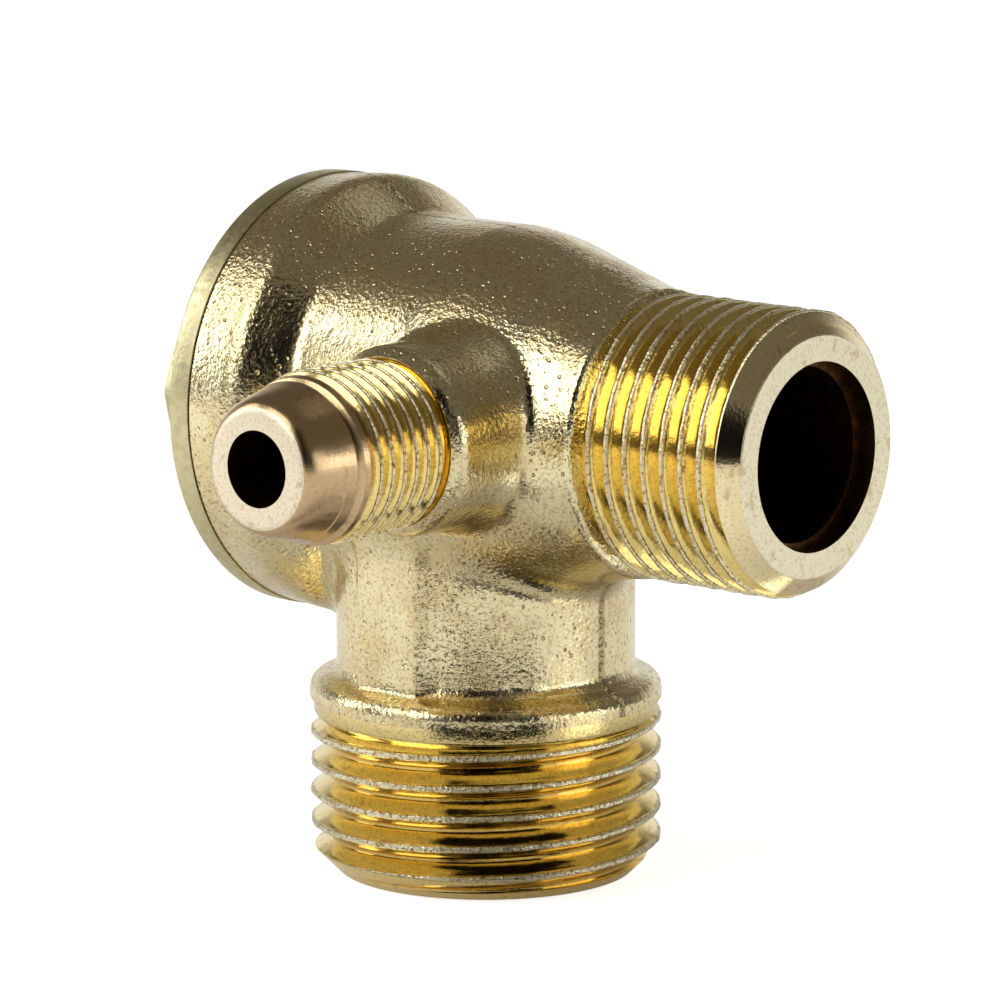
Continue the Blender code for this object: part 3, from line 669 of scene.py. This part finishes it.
closed_rise = 2.2 * WIRE_RADIUS * CLOSED_TURNS
first_height = SPRING_ENDS[0] + WIRE_RADIUS
open_rise = SPRING_ENDS[1] - WIRE_RADIUS - first_height - 2 * closed_rise
wire_points, wire_faces = [], []
wire_count = int(TURNS * WIRE_STEPS) + 1
for k in range(wire_count):
    turn_here = TURNS * k / (wire_count - 1)
    closed = min(turn_here, CLOSED_TURNS) + max(turn_here - TURNS + CLOSED_TURNS, 0)
    opened = min(max(turn_here - CLOSED_TURNS, 0), TURNS - 2 * CLOSED_TURNS)
    height = first_height + closed / CLOSED_TURNS * closed_rise
    height += opened / (TURNS - 2 * CLOSED_TURNS) * open_rise
    angle = 2 * math.pi * turn_here
    for side in range(WIRE_SIDES):
        bend = 2 * math.pi * side / WIRE_SIDES
        radius = COIL_RADIUS + WIRE_RADIUS * math.cos(bend)
        wire_points.append((
            height + WIRE_RADIUS * math.sin(bend), radius * math.cos(angle),
            AXIS_HEIGHT + radius * math.sin(angle),
        ))
for k in range(wire_count - 1):
    for side in range(WIRE_SIDES):
        a = k * WIRE_SIDES + side
        b = k * WIRE_SIDES + (side + 1) % WIRE_SIDES
        wire_faces.append((a, b, b + WIRE_SIDES, a + WIRE_SIDES))
wire_faces.append(tuple(range(WIRE_SIDES - 1, -1, -1)))
wire_faces.append(tuple(range((wire_count - 1) * WIRE_SIDES, wire_count * WIRE_SIDES)))
spring = make_piece("closing_spring", wire_points, wire_faces)
spring.data.shade_smooth()
spring.data.set_sharp_from_angle(angle=math.radians(50))
drawn_wire, tree, shader = finish_material("drawn spring wire")
place = in_millimetres(tree)
shader.inputs["Base Color"].default_value = (0.52, 0.50, 0.47, 1)
shader.inputs["Metallic"].default_value = 1.0
tree.links.new(rise(tree, grain(tree, place, 2.0, 2.0), 0.3, 0.7, 0.25, 0.42), shader.inputs["Roughness"])
tree.links.new(relief(tree, grain(tree, place, 7.0, 2.0), 0.000004), shader.inputs["Normal"])
spring.data.materials.append(drawn_wire)
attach(spring, "body")
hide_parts("return_spring")
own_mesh(spring)

# Seal ring: black nitrile, moulded in one with a matt skin. It is stretched round the neck of the
# cap's spigot, and lies in its own pocket in the mouth of the body
ring_rubber, tree, shader = finish_material("ring rubber")
place = in_millimetres(tree)
shader.inputs["Base Color"].default_value = (0.022, 0.021, 0.020, 1)
bloom = grain(tree, place, 1.8, 3.0, 0.6)
tree.links.new(rise(tree, bloom, 0.3, 0.7, 0.38, 0.6), shader.inputs["Roughness"])
tree.links.new(relief(tree, bloom, 0.000008), shader.inputs["Normal"])
cap_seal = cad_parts["cap_seal"]
cap_seal.data.materials.clear()
cap_seal.data.materials.append(ring_rubber)

# End cap: turned from brass bar, with a flange, a spigot threaded M20 x 1.5, a spring pocket round
# a guide tube, and a hexagon milled on its back. It is plated like the body, but duller
CAP_SEAT = -11.9
CAP_BACK = -13.4
HEX_END = -17.0
HEX_ROOT = CAP_BACK + 0.6
HEX_FLATS = 19.0
HEX_FACE = 9.02
HEX_TURN = math.radians(-4.0)
HEX_BEVEL = 0.012

spigot_blank = [
    (-12.6, 0), (-12.6, 9.3), (-10.0, 9.3), (-9.95, 9.66), (-8.3, 9.66), (-7.72, 9.08), (-7.72, 0),
]
end_cap = screw_end(
    "end_cap_turned", spigot_blank, inlet_place,
    crest=9.64, pitch=1.5, low=-13.5, high=-6.5, phase=0.4, steps=120, roughness=0.006,
)
cap_flange = soften([
    (CAP_BACK - 0.01, 0, 0),
    (CAP_BACK - 0.01, 13.18, 0.2),
    (CAP_SEAT, 13.19, 0.08),
    (CAP_SEAT, 9.32, 0.05),
    (-10.6, 9.3, 0),
    (-10.6, 0, 0),
])
combine(end_cap, "UNION", turn("flange", cap_flange, inlet_place, 1))
corner = HEX_FLATS / 2 / math.cos(math.pi / 6)
prism_points, prism_faces = [], []
for height in (HEX_END, HEX_ROOT):
    for k in range(6):
        for bevel in (-HEX_BEVEL, HEX_BEVEL):
            angle = math.pi / 3 * k + HEX_TURN + bevel
            reach = corner - abs(bevel) * 6
            prism_points.append((height, reach * math.cos(angle), AXIS_HEIGHT + reach * math.sin(angle)))
for k in range(12):
    after = (k + 1) % 12
    prism_faces.append((k, after, 12 + after, 12 + k))
prism_faces.append(tuple(range(11, -1, -1)))
prism_faces.append(tuple(range(12, 24)))
hexagon = make_piece("hexagon", prism_points, prism_faces, tank_place, 1)
past_corner = corner + 0.5
chamfer_rise = (past_corner - HEX_FACE) * math.tan(math.radians(30))
hexagon_form = [
    (HEX_END, 0), (HEX_END, HEX_FACE - 0.1), (HEX_END + 0.05, HEX_FACE + 0.05),
    (HEX_END + chamfer_rise, past_corner), (HEX_ROOT, past_corner), (HEX_ROOT, 0),
]
combine(hexagon, "INTERSECT", turn("hexagon form", hexagon_form, inlet_place, 1))
combine(end_cap, "UNION", hexagon)
cap_pocket = [
    (-15.0, 0), (-15.0, 2.7), (-9.0, 2.7), (-9.0, 3.5), (-14.2, 3.5), (-14.2, 6.2), (-7.9, 6.2),
    (-7.6, 6.5), (-6.7, 6.5), (-6.7, 0),
]
combine(end_cap, "DIFFERENCE", turn("pocket", cap_pocket, inlet_place, 2))
end_cap.data.shade_smooth()
end_cap.data.set_sharp_from_angle(angle=math.radians(38))

cap_brass, tree, shader = finish_material("plated cap brass")
place = in_millimetres(tree)
split = tree.nodes.new("ShaderNodeSeparateXYZ")
tree.links.new(place, split.inputs[0])
up = calc(tree, "SUBTRACT", split.outputs[2], AXIS_HEIGHT)
squared = calc(tree, "MULTIPLY", split.outputs[1], split.outputs[1])
radius = calc(tree, "SQRT", calc(tree, "MULTIPLY_ADD", up, up, squared))
travel = calc(tree, "ADD", split.outputs[0], radius)
lines = grain(tree, travel, 7.0, 2.0, 0.7, "1D")
shader.inputs["Metallic"].default_value = 1.0
worn = rise(tree, grain(tree, place, 2.0, 4.0, 0.6), 0.36, 0.66)
tree.links.new(blend(tree, worn, (0.67, 0.61, 0.36), (0.60, 0.53, 0.30)), shader.inputs["Base Color"])
tree.links.new(rise(tree, worn, 0.0, 1.0, 0.30, 0.42), shader.inputs["Roughness"])
marks = relief(tree, lines, 0.000004)
tree.links.new(relief(tree, grain(tree, place, 2.6, 3.0, 0.6), 0.00003, marks), shader.inputs["Normal"])
# The cap's spring pocket takes the same painted bore shade
give_finishes(end_cap, (cap_brass, cap_brass, bore_shade))
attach(end_cap, "body")
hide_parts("end_cap")

# Camera: set from the outlines of the ports in the photo, a long lens 0.36 m away. Its axis
# passes 0.9 mm right of the tank port's middle and 21.8 mm above it, seen along that axis
VIEW_TURN = 0.704
VIEW_RISE = 0.1862
VIEW_DISTANCE = 360.0
VIEW_ASIDE = 0.874
VIEW_ABOVE = 21.813
FOCAL_PIXELS = 5980.28
FRAME_PIXELS = 1001


def toward(turn_from_camera, elevation):
    """Unit direction at degrees to the right of the camera, and degrees above the horizon."""
    turn_angle = VIEW_TURN + math.radians(turn_from_camera)
    level = math.cos(math.radians(elevation))
    return Vector((
        math.sin(turn_angle) * level, -math.cos(turn_angle) * level, math.sin(math.radians(elevation)),
    ))


def facing(middle, direction):
    """Placement in metres whose local Z points along the direction."""
    side = Vector((0, 0, 1)).cross(direction).normalized()
    top = direction.cross(side)
    turned = Matrix((side, top, direction)).transposed().to_4x4()
    return Matrix.Translation(middle * MM) @ turned


back = toward(0, math.degrees(VIEW_RISE))
side = Vector((0, 0, 1)).cross(back).normalized()
camera = bpy.data.objects.new("camera", bpy.data.cameras.new("camera"))
camera.data.sensor_width = 36
camera.data.lens = FOCAL_PIXELS / FRAME_PIXELS * 36
camera.data.clip_start = 0.001
aim = VIEW_ASIDE * side + VIEW_ABOVE * back.cross(side)
camera.matrix_world = facing(aim + VIEW_DISTANCE * back, back)
bpy.context.scene.collection.objects.link(camera)
bpy.context.scene.camera = camera

# Studio: a white table, soft boxes on both sides, and a room that is dark above and behind the
# camera. Black flags and small cards give the metal its dark and bright bands. The camera sees the
# table and the background white, and the table keeps a soft shadow


def flat_card(name, width, height, placement):
    """A flat rectangle of the studio, in millimetres, with a placement in metres."""
    mesh = bpy.data.meshes.new(name)
    w, h = width * MM / 2, height * MM / 2
    mesh.from_pydata([(-w, -h, 0), (w, -h, 0), (w, h, 0), (-w, h, 0)], [], [(0, 1, 2, 3)])
    card = bpy.data.objects.new(name, mesh)
    card.matrix_world = placement
    bpy.context.scene.collection.objects.link(card)
    return card


def plain_glow(name, colour, strength):
    """A material that shines evenly and reflects nothing."""
    made = bpy.data.materials.new(name)
    made.use_nodes = True
    tree = made.node_tree
    tree.nodes.clear()
    out = tree.nodes.new("ShaderNodeOutputMaterial")
    glow = tree.nodes.new("ShaderNodeEmission")
    glow.inputs["Color"].default_value = (*colour, 1)
    glow.inputs["Strength"].default_value = strength
    tree.links.new(glow.outputs[0], out.inputs["Surface"])
    return made


floor = flat_card("floor", 3000, 3000, Matrix.Translation((0, 0, -0.0002)))
table_top = bpy.data.materials.new("white table")
table_top.use_nodes = True
tree = table_top.node_tree
shader = tree.nodes["Principled BSDF"]
shader.inputs["Base Color"].default_value = (0.86, 0.86, 0.86, 1)
shader.inputs["Roughness"].default_value = 0.7
shader.inputs["Specular IOR Level"].default_value = 0.2
shader.inputs["Emission Color"].default_value = (1, 1, 1, 1)
path = tree.nodes.new("ShaderNodeLightPath")
mirrored = calc(tree, "MAXIMUM", path.outputs["Is Glossy Ray"], path.outputs["Is Transmission Ray"])
from_foot = tree.nodes.new("ShaderNodeVectorMath")
from_foot.operation = "LENGTH"
tree.links.new(in_millimetres(tree), from_foot.inputs[0])
# Painted shadow: in reflections the table glows less close to the foot, for the shade the valve casts
glow = calc(tree, "MULTIPLY", mirrored, rise(tree, from_foot.outputs["Value"], 12, 70, 0.08, 0.5))
glow = calc(tree, "MULTIPLY_ADD", path.outputs["Is Camera Ray"], 0.82, glow)
tree.links.new(glow, shader.inputs["Emission Strength"])
floor.data.materials.append(table_top)

AIM_HEIGHT = 25
BOXES = [
    ("box left", -56, 34, 500, 330, 420, 2.4),
    ("box far left", -102, 22, 500, 170, 340, 3.0),
    ("box right", 49, 10, 500, 170, 200, 1.4),
    ("box low right", 72, 5, 400, 180, 100, 2.4),
    ("box behind right", 128, 58, 500, 240, 160, 0.25),
]
for name, turn_from_camera, elevation, away, width, height, radiance in BOXES:
    direction = toward(turn_from_camera, elevation)
    light = bpy.data.lights.new(name, "AREA")
    light.shape = "RECTANGLE"
    light.size = width * MM
    light.size_y = height * MM
    light.energy = radiance * math.pi * light.size * light.size_y
    lamp = bpy.data.objects.new(name, light)
    lamp.matrix_world = facing(direction * away + Vector((0, 0, AIM_HEIGHT)), direction)
    lamp.visible_camera = False
    bpy.context.scene.collection.objects.link(lamp)

flag_black = plain_glow("flag black", (0, 0, 0), 0.0)
flag_white = plain_glow("flag white", (1.0, 0.96, 0.88), 1.5)


def seen_in_metal(card, material):
    """Gives a card its glow and shows it to reflections only."""
    card.data.materials.append(material)
    for kind in ("camera", "diffuse", "shadow", "transmission", "volume_scatter"):
        setattr(card, "visible_" + kind, False)


FLAG_DISTANCE = 300
FLAG_HEIGHT = 12
FLAGS = [
    ("flag camera", -4, 23, 140, 340),
    ("flag right", 27, 12, 75, 150),
]
for name, turn_from_camera, elevation, width, height in FLAGS:
    direction = toward(turn_from_camera, elevation)
    middle = direction * FLAG_DISTANCE + Vector((0, 0, FLAG_HEIGHT))
    flag = flat_card(name, width, height, facing(middle, direction))
    seen_in_metal(flag, flag_black)

CARD_DISTANCE = 30
CARD_MIDDLE = 3.8
CARD_HEIGHT = 7.4
# The dark low card is painted shade of the table before the foot, the bright one a painted reflection
SMALL_CARDS = [
    ("low card dark", 3, 40, flag_black),
    ("low card bright", 58, 12, flag_white),
]
for name, turn_from_camera, width, material in SMALL_CARDS:
    direction = toward(turn_from_camera, 0)
    middle = direction * CARD_DISTANCE + Vector((0, 0, CARD_MIDDLE))
    card = flat_card(name, width, CARD_HEIGHT, facing(middle, direction))
    seen_in_metal(card, material)
# Painted shade: the black foot card stands, in reflections only, for the shaded table by the foot
FOOT_CARD_DISTANCE = 14.7
beside_foot = Matrix.Translation(toward(10, 0) * FOOT_CARD_DISTANCE * MM)
across_view = Matrix.Rotation(VIEW_TURN + math.radians(100), 4, "Z")
foot_card = flat_card("foot card", 6, 20, beside_foot @ across_view)
seen_in_metal(foot_card, flag_black)

world = bpy.data.worlds.new("studio")
world.use_nodes = True
bpy.context.scene.world = world
tree = world.node_tree
background = tree.nodes["Background"]
path = tree.nodes.new("ShaderNodeLightPath")
coordinates = tree.nodes.new("ShaderNodeTexCoord")
split = tree.nodes.new("ShaderNodeSeparateXYZ")
tree.links.new(coordinates.outputs["Generated"], split.inputs[0])
behind = tree.nodes.new("ShaderNodeVectorMath")
behind.operation = "DOT_PRODUCT"
tree.links.new(coordinates.outputs["Generated"], behind.inputs[0])
behind.inputs[1].default_value = toward(180, 0)
low = rise(tree, behind.outputs["Value"], 0.3, 0.95, 0.12, 0.9)
share = rise(tree, split.outputs[2], 0.15, 0.5)
room = calc(tree, "MULTIPLY_ADD", share, calc(tree, "SUBTRACT", 0.15, low), low)
room_colour = blend(tree, share, (1.0, 1.0, 1.0), (1.0, 0.89, 0.72))
colour = blend(tree, path.outputs["Is Camera Ray"], room_colour, (1, 1, 1))
tree.links.new(colour, background.inputs["Color"])
strength = calc(tree, "MAXIMUM", room, path.outputs["Is Camera Ray"])
tree.links.new(strength, background.inputs["Strength"])

scene = bpy.context.scene
scene.render.engine = "CYCLES"
scene.render.resolution_x = FRAME_PIXELS
scene.render.resolution_y = FRAME_PIXELS
scene.view_settings.view_transform = "Standard"
scene.cycles.max_bounces = 8
